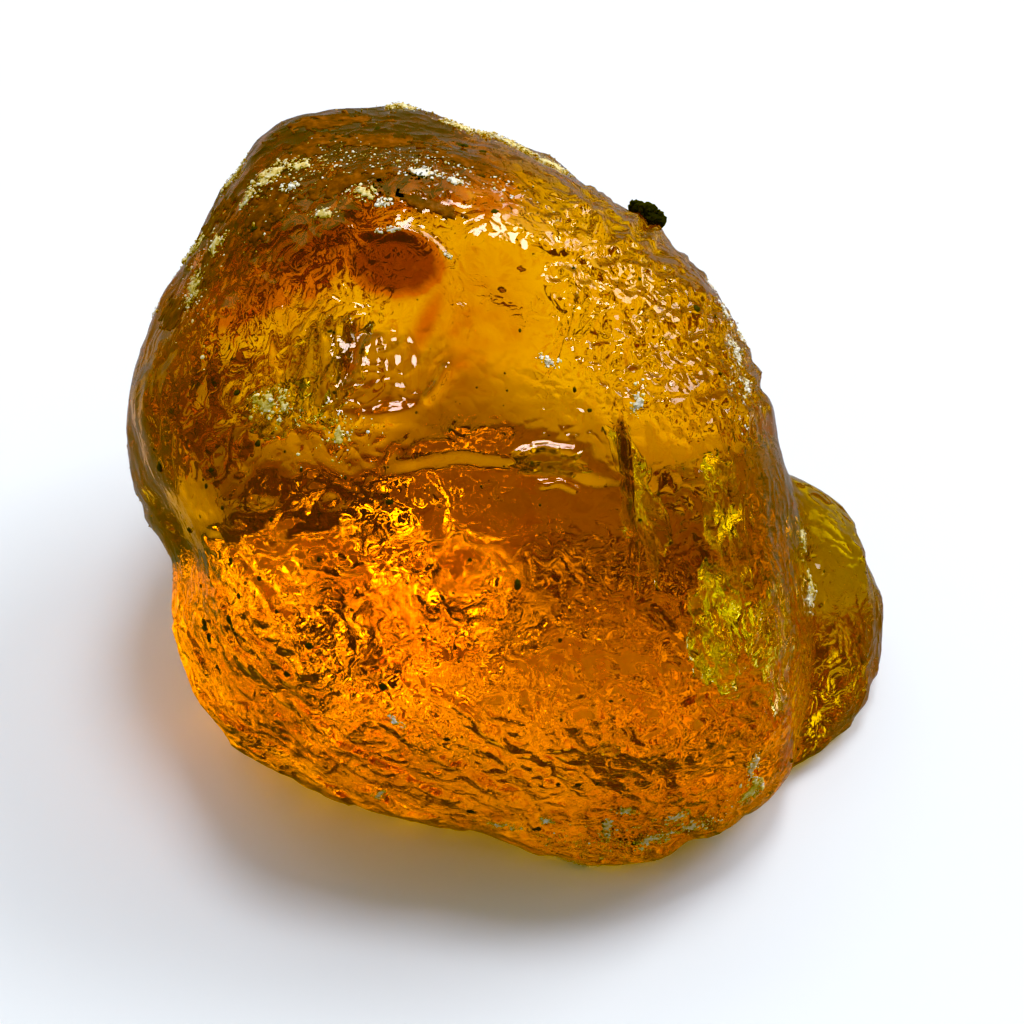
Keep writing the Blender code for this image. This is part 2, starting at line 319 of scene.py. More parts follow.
def relief(p, d):
    z = zones(p, d)
    x, y, front = z["x"], z["y"], z["front"]
    back = 1 - front
    quiet = 1 - 0.75 * np.clip(z["calm"] + z["band"] + 0.7 * z["glow"] + z["right"], 0, 1)
    bend = np.stack([noise3(p / 2.5, s) for s in (1, 2, 3)], -1)
    near, _ = cells(p / 3.4 + 0.35 * bend, 5)
    h = (near**2 - 0.35) * (0.20 * quiet * front + 0.60 * back)
    h += fractal(p / 2.2, 3, 11) * (0.14 * quiet * front + 0.42 * back)
    # small shell-like chips on the back, the sides and the rough parts of the face
    near, far = cells(p / 1.25 + 0.3 * bend, 17)
    h += (near**2 - 0.3) * (0.10 * back + front * (0.10 * z["bubbly"] + 0.08 * z["lower"] + 0.08 * z["foot"]
                                                   + 0.10 * z["foil"] + 0.07 * z["crown"] + 0.06 * z["left_edge"]))
    # fine grain
    grain = (0.25 + 1.6 * z["bubbly"] + 1.8 * z["crown"] + 1.8 * z["left_edge"] + 1.7 * z["foot"]
             + 1.6 * z["right_edge"] + 0.8 * z["lower"] + 0.8 * z["lower_left"] + 0.7 * back)
    h += fractal(p / 0.62, 3, 31) * 0.028 * grain
    # bubbly skin, upper right: little craters with raised lips
    near, _ = cells(np.stack([x / 17, y / 17, x * 0], -1), 41)
    h += z["bubbly"] * 0.15 * (smooth(0.05, 0.42, near) - 0.8 - 0.7 * smooth(0.30, 0.42, near) * smooth(0.62, 0.46, near))
    h += z["bubbly"] * 0.17 * (1 - 3.0 * np.abs(noise3(flat3(x / 27, y / 27, 9.0), 43)))
    # hollow window: wavy upright streaks and a lip
    sway = 9 * noise3(flat3(x / 50, y / 46, 2.0), 61)
    h += z["window"] * 0.032 * np.sin((x + sway * 2.2) / 3.1 + 0.9 * np.sin(y / 15)) * smooth(300, 325, y)
    rim = np.hypot((x - 368) / 92, (y - 322) / 96)
    h += front * 0.22 * np.exp(-(((rim - 1.0) / 0.09) ** 2)) * (0.45 + 0.55 * noise3(flat3(x / 40, y / 40, 4.0), 63))
    # ledge across the middle: stands proud, then drops
    edge, _ = from_path(x, y, ((385, 470), (420, 460), (455, 456), (520, 463), (560, 468), (600, 482)))
    below = y - np.interp(x, (385, 455, 520, 600), (470, 456, 463, 482))
    span = smooth(370, 410, x) * smooth(625, 585, x)
    h += front * span * 0.09 * smooth(7, -7, below) * np.exp(-np.maximum(-below, 0) / 50)
    h -= front * span * 0.05 * np.exp(-(((below - 10) / 8) ** 2))
    # drawn-out flow marks, lower left and lower edge
    h += z["lower_left"] * (0.20 * shells(x, y, 56, 80, 22, 7) + 0.09 * stripes(x, y, 62, 48, 9, 27))
    h += z["lower"] * (0.22 * shells(x, y, 33, 90, 24, 8) + 0.10 * stripes(x, y, 38, 50, 9, 28))
    h += z["foot"] * 0.13 * stripes(x, y, 10, 40, 12, 9)
    h += z["right"] * (0.06 * stripes(x, y, 84, 150, 15, 10) + 0.035 * stripes(x, y, 80, 70, 8, 30))
    h += blob(x, y, 575, 730, 140, 80, 0, 4) * front * (0.12 * fractal(flat3(x / 20, y / 24, 6.0), 3, 33)
                                                        + 0.16 * (0.5 - 1.9 * np.abs(noise3(flat3(x / 27, y / 34, 3.0), 39))))
    h += front * blob(x, y, 275, 405, 60, 42, 10, 4) * 0.10 * fractal(flat3(x / 15, y / 15, 7.0), 3, 34)
    h += front * blob(x, y, 600, 370, 70, 70, 0, 4) * 0.08 * fractal(flat3(x / 17, y / 17, 8.0), 3, 35)
    h += (z["foil"] + 0.7 * front * blob(x, y, 690, 720, 70, 60, 0, 4)) * 0.13 * (1 - 2.4 * np.abs(noise3(flat3(x / 21, y / 27, 5.0), 67)))
    angle = np.degrees(np.arccos(np.clip(d @ unit((-4.4, 5.4, 10.0)), -1, 1)))
    h += 0.50 * np.exp(-((angle / 10) ** 2))
    # mottling where the light pools
    h += z["glow"] * 0.05 * fractal(p / 0.8, 2, 83)
    for cx, cy, radius, depth in PITS:
        q = np.hypot(x - cx, y - cy) / radius
        h -= front * depth * (np.maximum(1 - q * q, 0) - 0.45 * np.exp(-(((q - 1.15) / 0.22) ** 2)))
    for path, half, height in RIDGES:
        away, along = from_path(x, y, path)
        h += front * height * np.exp(-((away / half) ** 2)) * smooth(0, 0.12, along + 0.03) * smooth(1.03, 0.88, along)
    # nicks bitten out of the rim
    for cx, cy, radius, depth in ((775, 386, 13, 0.35), (150, 505, 14, 0.25), (226, 158, 16, 0.3), (474, 132, 14, 0.2),
                                  (806, 560, 10, 0.2), (160, 566, 10, 0.2), (690, 846, 18, 0.3)):
        h -= depth * np.exp(-((np.hypot(x - cx, y - cy) / radius) ** 2)) * smooth(-0.5, -0.2, d[:, 2])
    return h


def skin_radius(d):
    """Radius with relief, kept above the resting plane; the underside is dimpled and touches on its creases."""
    r = form_radius(d)
    r = r + relief(d * r[:, None], d)
    down = np.maximum(-(d @ FACE[:, 2]), 1e-6)
    flat = np.minimum(r, CENTRE_Z / down)
    at = d * flat[:, None]
    near, _ = cells(at / 2.7 + 0.25 * np.stack([noise3(at / 1.4, s) for s in (401, 402, 403)], -1), 404)
    dimple = 0.75 * (1 - np.minimum(near, 0.95) ** 2) + 0.12 * np.abs(noise3(at / 1.0, 405))
    return np.minimum(r, (CENTRE_Z - 0.36 * dimple) / down)


LOW, HIGH = np.array(CAD_BOX[0]), np.array(CAD_BOX[1])


def to_world(p):
    """Face-frame mm to metres, kept just inside the CAD box."""
    return np.clip((p @ FACE + MIDDLE) * MM, LOW + 4e-6, HIGH - 4e-6)


# ======================================================================================
# Meshes
# ======================================================================================
def add_mesh(name, verts, faces, material, smooth_shade=True):
    mesh = bpy.data.meshes.new(name)
    mesh.from_pydata([tuple(v) for v in verts], [], [tuple(int(i) for i in f) for f in faces])
    mesh.polygons.foreach_set("use_smooth", [smooth_shade] * len(mesh.polygons))
    mesh.materials.append(material)
    obj = bpy.data.objects.new(name, mesh)
    bpy.context.scene.collection.objects.link(obj)
    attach(obj, "root")
    return obj


def cube_sphere(n, pull):
    """Unit directions and quads of a cube drawn onto a sphere, closer together towards +out."""
    t = np.tan(np.linspace(-math.pi / 4, math.pi / 4, n + 1))
    known, verts, faces = {}, [], []
    for axis in range(3):
        for side in (-1, 1):
            index = np.zeros((n + 1, n + 1), int)
            for a in range(n + 1):
                for b in range(n + 1):
                    point = [0.0, 0.0, 0.0]
                    point[axis], point[(axis + 1) % 3], point[(axis + 2) % 3] = side, t[a], t[b]
                    if a in (0, n) or b in (0, n):
                        key = tuple(round(c, 6) for c in point)
                        if key not in known:
                            known[key] = len(verts)
                            verts.append(point)
                        index[a, b] = known[key]
                    else:
                        index[a, b] = len(verts)
                        verts.append(point)
            quads = np.stack([index[:-1, :-1], index[1:, :-1], index[1:, 1:], index[:-1, 1:]], -1).reshape(-1, 4)
            faces.append(quads if side == 1 else quads[:, ::-1])
    d = unit(np.array(verts))
    return unit(d + np.array([0, 0, pull])), np.concatenate(faces)


def crack(centre, normal, along, long, wide, thick, wave, wave_size, seed, rings=12, spokes=40, draw=1.0):
    """A thin sealed gap inside the resin: a wavy film of air with a ragged outline.

    Faces wind so that the resin is outside them, as on any hollow in a solid.
    """
    n = unit(normal)
    a = unit(np.asarray(along, float) - n * np.dot(along, n))
    b = np.cross(n, a)
    verts = []
    turns = np.linspace(0, 2 * math.pi, spokes, endpoint=False)
    circle = np.stack([np.cos(turns), np.sin(turns), turns * 0 + seed * 0.77], -1)
    rim = 1 + 0.55 * noise3(circle * 1.5, seed) + 0.45 * noise3(circle * 4.1, seed + 1) + 0.25 * noise3(circle * 9.3, seed + 2)
    rim = np.clip(rim, 0.45, 1.6)

    def height(x, y):
        broad = fractal(np.stack([x / (wave_size * draw), y / wave_size, x * 0 + seed * 1.3], -1), 3, seed, 0.55)
        return wave * broad

    def ring(q, side):
        x, y = q * rim * long * np.cos(turns), q * rim * wide * np.sin(turns)
        gap = thick * max(1 - q * q, 0.0) + (0.004 if q < 1 else 0.0)
        return centre + x[:, None] * a + y[:, None] * b + (height(x, y) + side * gap / 2)[:, None] * n

    lift0 = height(np.zeros(1), np.zeros(1))[0]
    verts.append(centre + n * (lift0 + thick / 2))
    for q in range(1, rings):
        verts.extend(ring(q / rings, 1))
    verts.extend(ring(1.0, 0))
    for q in range(rings - 1, 0, -1):
        verts.extend(ring(q / rings, -1))
    verts.append(centre + n * (lift0 - thick / 2))
    faces = []
    last = len(verts) - 1
    count = 2 * rings - 1
    for k in range(spokes):
        m = (k + 1) % spokes
        faces.append((0, 1 + m, 1 + k))
        for q in range(count - 1):
            o, i = 1 + q * spokes, 1 + (q + 1) * spokes
            faces.append((o + k, o + m, i + m, i + k))
        o = 1 + (count - 1) * spokes
        faces.append((o + k, o + m, last))
    return np.array(verts), faces


def inside(x, y, depth):
    """A point the given depth in mm below the face's point seen at x, y."""
    d = facing(x, y)
    r = form_radius(d)
    return (d * (r - depth)[:, None])[0]


# Sealed fractures and flakes: x, y, depth, normal, long direction, half-length, half-width,
# gap, waviness, wave size, seed, rings, how far the waves are drawn out along the length
CRACKS = [
    (655, 508, 2.1, (0.975, 0.05, -0.22), (0, 1, 0), 3.7, 1.7, 0.04, 0.10, 1.6, 3, 12, 3.0),
    (676, 500, 2.8, (0.30, 0.59, 0.75), (0, 1, 0), 3.4, 0.9, 0.03, 0.14, 0.9, 4, 12, 3.0),
    (567, 326, 0.9, (0.90, -0.32, -0.30), (0.30, 0.95, 0), 1.75, 0.75, 0.03, 0.07, 0.7, 5, 9, 1.5),
    (792, 655, 1.3, (0.72, 0.16, 0.67), (0, 1, 0), 2.5, 1.6, 0.03, 0.26, 0.60, 9, 17, 1.0),
    (740, 650, 1.9, (0.69, 0.22, 0.69), (0, 1, 0), 2.2, 1.4, 0.03, 0.26, 0.60, 29, 15, 1.0),
    (762, 545, 2.4, (0.44, 0.49, 0.75), (0, 1, 0), 2.6, 0.9, 0.03, 0.22, 0.8, 10, 14, 2.4),
    (549, 464, 0.8, (0.05, 0.66, 0.75), (1, 0, 0), 1.60, 0.75, 0.03, 0.04, 0.8, 13, 9, 2.0),
    (318, 350, 1.2, (-0.50, 0.43, 0.75), (0, 1, -0.3), 2.2, 1.5, 0.03, 0.15, 0.50, 15, 17, 3.5),
    (262, 405, 1.0, (-0.55, 0.36, 0.75), (1, 0.2, 0), 1.5, 1.2, 0.03, 0.18, 0.45, 31, 13, 1.0),
    (615, 757, 0.7, (0.1, 0.65, 0.75), (0, 1, 0), 0.55, 0.40, 0.03, 0.03, 0.5, 19, 6, 1.0),
    (858, 590, 1.4, (0.50, 0.43, 0.75), (0, 1, 0), 2.4, 1.2, 0.03, 0.20, 0.7, 43, 13, 1.4),
]


def stains(p, d, z):
    """How deep-brown the skin is (stains, plus painted shade over the lower glow), how orange and how worn, each 0 to
    1.
    """
    x, y, front = z["x"], z["y"], z["front"]
    patchy = fractal(p / 1.5, 3, 301)
    fine = fractal(p / 0.45, 3, 311)
    crown = blob(x, y, 305, 165, 175, 88, -22, 4) + 0.75 * blob(x, y, 452, 172, 76, 42, 18, 3)
    stain_and_glow_shade = 1.05 * crown + 0.70 * blob(x, y, 265, 255, 85, 75, -10, 3) + 0.32 * blob(x, y, 175, 400, 60, 150, 0, 3)
    stain_and_glow_shade += 0.30 * blob(x, y, 470, 330, 60, 90, 10, 3) + 0.25 * blob(x, y, 790, 560, 35, 130, 0, 3)
    stain_and_glow_shade += 0.30 * blob(x, y, 640, 820, 90, 40, 0, 3)
    stain_and_glow_shade = stain_and_glow_shade * (1 + 0.8 * patchy) + 0.25 * fine * np.clip(stain_and_glow_shade * 2, 0, 1)
    pocket = 1.35 * blob(x, y, 394, 262, 50, 34, 8, 4) * (1 + 0.5 * fine)
    tail = 0.7 * blob(x, y, 352, 352, 10, 34, 12, 3) + 0.5 * blob(x, y, 428, 320, 14, 50, 25, 3)
    under = smooth(-0.35, -0.75, d @ FACE[:, 2])
    # painted shade: the skin over the lower glow, where light pools, is darkened to dim it; this is not a stain
    stain_and_glow_shade = stain_and_glow_shade + 0.34 * blob(x, y, 400, 605, 105, 85, 20, 3)
    deep = front * np.clip(np.maximum(stain_and_glow_shade, np.maximum(pocket, tail)), 0, 1) + (1 - front) * np.clip(0.06 + 0.55 * patchy, 0, 0.6)
    low = 0.85 * blob(x, y, 215, 640, 80, 130, -35, 4) + 0.65 * blob(x, y, 360, 775, 200, 70, 18, 4) + 0.45 * blob(x, y, 600, 835, 190, 38, -6, 4)
    side = 0.45 * blob(x, y, 170, 470, 80, 170, 0, 4)
    deep = np.maximum(deep, 0.08 * under * (1 + patchy))
    deep = deep * (1 - 0.9 * np.exp(-((np.linalg.norm(p - np.array([14.0, -5.0, -1.0]), axis=1) / 5.0) ** 4)))
    warm = np.clip(front * (low + side) * (1 + 0.9 * patchy + 0.7 * fine), 0, 1)
    wear = np.clip(0.65 * z["crown"] + 0.35 * z["left_edge"] + 0.25 * z["foot"] + 0.30 * z["right_edge"]
                   + 0.05 * z["bubbly"] + 0.7 * front * blob(x, y, 858, 600, 40, 90, 0, 4)
                   + front * (0.55 * blob(x, y, 415, 610, 115, 85, 0, 3) + 0.40 * blob(x, y, 260, 560, 110, 110, 0, 3)
                              + 0.35 * blob(x, y, 540, 560, 110, 70, 0, 3))
                   + (1 - front) * (1 - under) * np.clip(0.05 + 0.7 * patchy, 0, 0.8), 0, 1)
    mottle = (0.40 * z["bubbly"] + 0.75 * z["foot"] + 0.45 * z["lower"] + 0.45 * z["lower_left"] + 0.30 * z["crown"] + 0.15 * z["left_edge"]
              + 0.5 * z["right_edge"] + 0.9 * z["foil"] + 0.25 * z["right"] + 0.25 * z["window"] + 0.45 * (1 - front) * (1 - under)
              + front * (0.35 * blob(x, y, 440, 190, 130, 50, 15, 4) + 0.8 * blob(x, y, 270, 405, 55, 34, 10, 3) + 0.7 * blob(x, y, 345, 432, 50, 30, 25, 3)
                         + 0.6 * blob(x, y, 600, 375, 60, 60, 0, 3) + 0.5 * blob(x, y, 300, 270, 70, 60, 0, 3)
                         + 0.4 * blob(x, y, 610, 590, 40, 70, 0, 3) + 0.5 * blob(x, y, 570, 740, 120, 70, 0, 3)
                         + 0.10 * blob(x, y, 480, 620, 90, 80, 0, 3)))
    mottle = np.clip(mottle * (0.85 + 0.8 * fractal(p / 1.1, 3, 331)) + 0.05, 0, 1)
    return deep, warm, wear, mottle


def build_body(material):
    d, faces = cube_sphere(108, 0.50)
    r = skin_radius(d)
    p = d * r[:, None]
    z = zones(p, d)
    verts = [to_world(p)]
    faces = faces.tolist()
    total = len(d)
    for x, y, depth, normal, along, long, wide, gap, wave, size, seed, rings, draw in CRACKS:
        v, f = crack(inside(x, y, depth), normal, along, long, wide, gap, wave, size, seed, rings, 4 * rings, draw)
        reach = np.linalg.norm(v, axis=1)
        limit = skin_radius(unit(v)) - 0.12
        v = v * np.minimum(1, limit / reach)[:, None]
        verts.append(to_world(v))
        faces.extend([tuple(i + total for i in g) for g in f])
        total += len(v)
    body = add_mesh("amber_body", np.concatenate(verts), faces, material)
    print("amber_body triangles", sum(len(f.vertices) - 2 for f in body.data.polygons))
    for name, values in zip(("deep", "warm", "wear", "mottle"), stains(p, d, z)):
        layer = body.data.attributes.new(name, "FLOAT", "POINT")
        layer.data.foreach_set("value", np.concatenate([values, np.zeros(total - len(d))]).astype(np.float32))
    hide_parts("amber_nugget")
    return body


# ======================================================================================
# Crusts, grains, specks and soil
# ======================================================================================
def edge_direction(angle, rise):
    """A direction at an outline angle, rise degrees towards the broad face."""
    a, b = math.radians(angle), math.radians(rise)
    return np.array([math.cos(a) * math.cos(b), math.sin(a) * math.cos(b), math.sin(b)])


def spot(place):
    """A unit direction from frame pixels (x, y), or from ("edge", angle, rise)."""
    if place[0] == "edge":
        return edge_direction(place[1], place[2])
    return facing(*place)[0]


def tangents(d):
    """Two directions along the surface: right and down in the frame where that makes sense."""
    right = np.array([1.0, 0.0, 0.0])
    if abs(d[0]) > 0.9:
        right = np.array([0.0, 0.0, -math.copysign(1.0, d[0])])
    right = unit(right - d * (right @ d))
    down = np.cross(d, right)
    if down[1] > 0 and abs(d[1]) < 0.9:
        down = -down
    return right, down


def spread(place, rx, ry, turn, a, b):
    """Unit directions at a, b (in units of the patch's half-axes rx, ry mm) about a place."""
    d = spot(place)
    right, down = tangents(d)
    c, s = math.cos(math.radians(turn)), math.sin(math.radians(turn))
    x, y = a * rx * c - b * ry * s, a * rx * s + b * ry * c
    r0 = form_radius(d[None])[0]
    return unit(d + (x[..., None] * right + y[..., None] * down) / r0)


def crust_film(name, patches, thick, cover, size, seed, material):
    """Thin lacy scabs that follow the skin, each a closed shell."""
    verts, faces, total = [], [], 0
    for k, (place, rx, ry, turn) in enumerate(patches):
        nx, ny = max(8, int(2.6 * rx / size)), max(8, int(2.6 * ry / size))
        a, b = np.meshgrid(np.linspace(-1.3, 1.3, nx), np.linspace(-1.3, 1.3, ny), indexing="ij")
        d = spread(place, rx, ry, turn, a.ravel(), b.ravel())
        r = skin_radius(d)
        p = d * r[:, None]
        lace = 0.8 * fractal(p / 0.45, 3, seed + k) + 0.8 * fractal(p / 0.15, 2, seed + k + 50)
        body_ = 1.15 - np.hypot(a, b).ravel() * 1.1
        value = body_ - (1 - cover) + 0.85 * lace
        lift = thick * np.clip(value, 0, 1) ** 0.6 * (0.55 + 1.3 * np.abs(noise3(p / 0.13, seed + 9)))
        top = p + d * (0.01 + lift)[:, None]
        low = p - d * 0.06
        keep = (value > 0).reshape(nx, ny)
        index = np.arange(nx * ny).reshape(nx, ny)
        quad = keep[:-1, :-1] & keep[1:, :-1] & keep[1:, 1:] & keep[:-1, 1:]
        cells_ = np.stack([index[:-1, :-1][quad], index[1:, :-1][quad], index[1:, 1:][quad], index[:-1, 1:][quad]], -1)
        if not len(cells_):
            continue
        normal = np.cross(top[cells_[0][1]] - top[cells_[0][0]], top[cells_[0][3]] - top[cells_[0][0]])
        if normal @ d[cells_[0][0]] < 0:
            cells_ = cells_[:, ::-1]
        edges = {}
        for f in cells_:
            for i in range(4):
                edges[(f[i], f[(i + 1) % 4])] = 1
        n = nx * ny
        made = [tuple(f) for f in cells_] + [tuple(f[::-1] + n) for f in cells_]
        made += [(i, i + n, j + n, j) for (i, j) in edges if (j, i) not in edges]
        used = np.unique(np.array([v for f in made for v in f]))
        both = np.concatenate([top, low])
        renumber = np.full(2 * n, -1)
        renumber[used] = np.arange(len(used)) + total
        verts.append(both[used])
        faces += [tuple(renumber[list(f)]) for f in made]
        total += len(used)
    obj = add_mesh(name, to_world(np.concatenate(verts)), faces, material)
    return obj


def ball(detail):
    bm = bmesh.new()
    bmesh.ops.create_icosphere(bm, subdivisions=detail, radius=1.0)
    v = np.array([x.co[:] for x in bm.verts])
    f = np.array([[x.index for x in g.verts] for g in bm.faces])
    bm.free()
    return v, f


def lumps(name, items, detail, material, seed, rough=0.35, shade=True):
    """Many small irregular bodies in one mesh; items are (point, radius, squash axis, squash, tone)."""
    v0, f0 = ball(detail)
    n = len(items)
    rng = np.random.default_rng(seed)
    where = (v0[None] * 1.3 + np.arange(n)[:, None, None] * 3.17).reshape(-1, 3)
    v = v0[None] * (1 + rough * 1.6 * noise3(where, seed).reshape(n, -1, 1))
    v = v * rng.uniform(0.65, 1.3, (n, 1, 3))
    axis = unit(np.array([i[2] for i in items]))[:, None]
    v = v - (v * axis).sum(-1, keepdims=True) * axis * (1 - np.array([i[3] for i in items]))[:, None, None]
    v = np.array([i[0] for i in items])[:, None] + v * np.array([i[1] for i in items])[:, None, None]
    verts = [v.reshape(-1, 3)]
    faces = [(f0[None] + np.arange(n)[:, None, None] * len(v0)).reshape(-1, 3)]
    tones = [np.repeat([i[4] for i in items], len(v0))]
    obj = add_mesh(name, to_world(np.concatenate(verts)), np.concatenate(faces).tolist(), material, smooth_shade=detail > 2)
    layer = obj.data.attributes.new("tone", "FLOAT", "POINT")
    layer.data.foreach_set("value", np.concatenate(tones).astype(np.float32))
    return obj


def on_skin(d, rise):
    return d * (skin_radius(d) + rise)[:, None]


# Crust patches by character: place, half-axes in mm, turn
YELLOW = [
    (("edge", 101, 4), 1.3, 0.7, 20), (("edge", 92, 9), 1.7, 0.9, 25), (("edge", 84, 9), 1.8, 0.8, 28),
    (("edge", 77, 9), 1.3, 0.6, 30), ((266, 172), 1.7, 0.9, -25), ((363, 193), 1.1, 0.6, 10),
    ((213, 240), 0.8, 0.7, 0), ((186, 284), 0.65, 1.4, 12), ((244, 196), 0.7, 0.5, -40),
    ((270, 405), 1.2, 0.9, 10), ((337, 433), 0.8, 0.7, 0), ((300, 160), 0.8, 0.4, 0),
    ((324, 214), 0.9, 0.35, 15), (("edge", 128, 8), 1.2, 0.8, 0), (("edge", 140, 10), 1.4, 0.6, 40),
    ((762, 800), 1.1, 0.7, -20), (("edge", 60, 0), 1.0, 0.5, 45), (("edge", 100, -28), 1.8, 1.0, 10),
    (("edge", 45, -30), 1.6, 0.9, 60), (("edge", 160, -35), 2.0, 1.1, 20),
    ((850, 548), 0.6, 0.8, -20), ((868, 600), 0.45, 1.2, 5),
]
WHITE = [
    ((420, 172), 0.75, 0.6, 0), ((730, 305), 0.4, 0.7, -20), ((744, 345), 0.45, 1.0, -15), ((752, 385), 0.4, 0.8, -5),
    ((392, 236), 0.9, 0.10, 3), ((447, 256), 0.4, 0.12, 40), ((636, 404), 0.35, 0.95, 5), ((455, 180), 0.9, 0.3, 15),
    ((385, 205), 0.5, 0.35, 0), ((290, 186), 0.5, 0.3, 20), (("edge", 30, 2), 0.7, 1.2, 20),
    (("edge", 171, 4), 0.5, 1.4, 0), (("edge", 151, 5), 0.5, 0.9, 30), ((548, 362), 0.6, 0.35, 20),
    ((864, 614), 0.55, 0.75, 0), ((735, 262), 0.3, 0.5, -30), (("edge", 128, -30), 1.4, 0.8, 0), (("edge", 10, -35), 1.0, 1.6, 0),
]
GREY = [
    ((502, 834), 1.0, 0.35, 5), ((609, 834), 0.45, 1.0, 15), ((397, 720), 0.5, 0.2, 33), ((655, 850), 1.4, 0.6, -10),
    ((700, 838), 0.9, 0.5, -20), ((628, 815), 0.6, 0.3, 0), ((378, 800), 0.5, 0.3, 10), ((760, 770), 0.5, 0.9, 20),
    (("edge", 285, 8), 1.2, 0.5, 0), (("edge", 305, 6), 1.3, 0.5, -30), ((548, 826), 0.5, 0.22, 10),
    ((680, 822), 0.8, 0.35, -15), (("edge", 215, -20), 1.0, 0.7, 0),
]

RIND = [
    ((300, 140), 3.2, 1.3, -28), ((268, 205), 2.3, 1.5, -50), ((372, 128), 3.0, 1.0, 8), ((460, 158), 2.6, 0.9, 20),
    ((200, 262), 1.3, 2.4, 25), ((345, 178), 2.8, 0.9, -5), (("edge", 112, 12), 3.4, 1.2, 10), (("edge", 135, 14), 2.8, 1.3, 45),
    (("edge", 150, 20), 2.2, 1.2, 55), ((425, 205), 2.2, 0.6, 15), (("edge", 120, -22), 3.4, 2.0, 20), (("edge", 96, -10), 3.0, 1.1, 25),
]

# Dark specks on and in the skin: x, y, radius in pixels, how much longer than wide, turn
SPECKS = [
    (153, 466, 4.5, 1, 0), (210, 470, 4, 1, 0), (389, 502, 4.2, 1, 0), (238, 393, 3, 1, 0), (256, 443, 3, 1, 0),
    (179, 531, 4, 1, 0), (495, 210, 3.6, 1, 0), (371, 106, 4, 1, 0), (284, 143, 3.5, 1, 0), (254, 227, 4.5, 1.3, 20),
    (461, 126, 5, 1, 0), (483, 136, 3.5, 1, 0), (696, 309, 5, 1, 0), (194, 631, 5, 1.6, 70), (202, 643, 4.2, 1.4, 80),
    (308, 647, 4.6, 1, 0), (287, 674, 3.6, 1, 0), (258, 579, 3, 1, 0), (239, 596, 3, 1, 0), (383, 687, 3.4, 1, 0),
    (447, 740, 3, 1, 0), (212, 675, 3.4, 1.8, 40), (233, 627, 4.5, 2.6, 50), (519, 585, 4.6, 1.2, 0),
    (443, 598, 2.6, 1, 0), (640, 855, 4, 1, 0), (538, 835, 3.4, 1.5, 0), (559, 787, 2.6, 1, 0), (579, 786, 2.8, 1, 0),
    (599, 787, 3, 1.4, 90), (471, 818, 5, 1.2, 0), (205, 486, 2.6, 1, 0), (222, 508, 2.4, 1, 0), (270, 520, 2.2, 1, 0),
    (318, 560, 2.2, 1, 0), (352, 610, 2, 1, 0), (423, 640, 2, 1, 0), (300, 470, 2.2, 1, 0), (345, 478, 2, 1, 0),
    (500, 620, 2, 1, 0), (560, 640, 2, 1, 0), (470, 560, 2, 1, 0), (610, 700, 2, 1, 0), (706, 560, 2, 1, 0),
    (232, 560, 2.6, 1, 0), (190, 590, 2.6, 1, 0), (276, 612, 2.4, 1, 0), (330, 690, 2.2, 1, 0), (540, 505, 1.8, 1, 0),
    (575, 265, 2.4, 1, 0), (640, 278, 2.6, 1, 0), (520, 330, 1.8, 1, 0), (450, 430, 1.8, 1, 0), (640, 520, 1.8, 1, 0),
]
RED_FLECKS = [(502, 288, 3.4, 1.4, 30), (521, 268, 3.6, 1.5, 20), (484, 173, 3.0, 1, 0), (303, 630, 3, 1, 0),
              (560, 300, 2.2, 1.2, 0), (430, 612, 2.2, 1, 0), (250, 455, 2.2, 1, 0)]


def speck_items(table, rng, tone, sink=0.25):
    items = []
    for x, y, radius, long, turn in table:
        d = facing(x, y)
        size = radius / 24.0
        point = on_skin(d, -sink * size)[0]
        right, down = tangents(d[0])
        for step in np.linspace(-1, 1, 3 if long > 1.25 else 1):
            shift = step * (long - 1) * size
            c, s = math.cos(math.radians(turn)), math.sin(math.radians(turn))
            items.append((point + (right * c + down * s) * shift, size * (1.0 if long <= 1.25 else 0.85), d[0], 0.55,
                          tone + rng.uniform(-0.08, 0.08)))
    return items


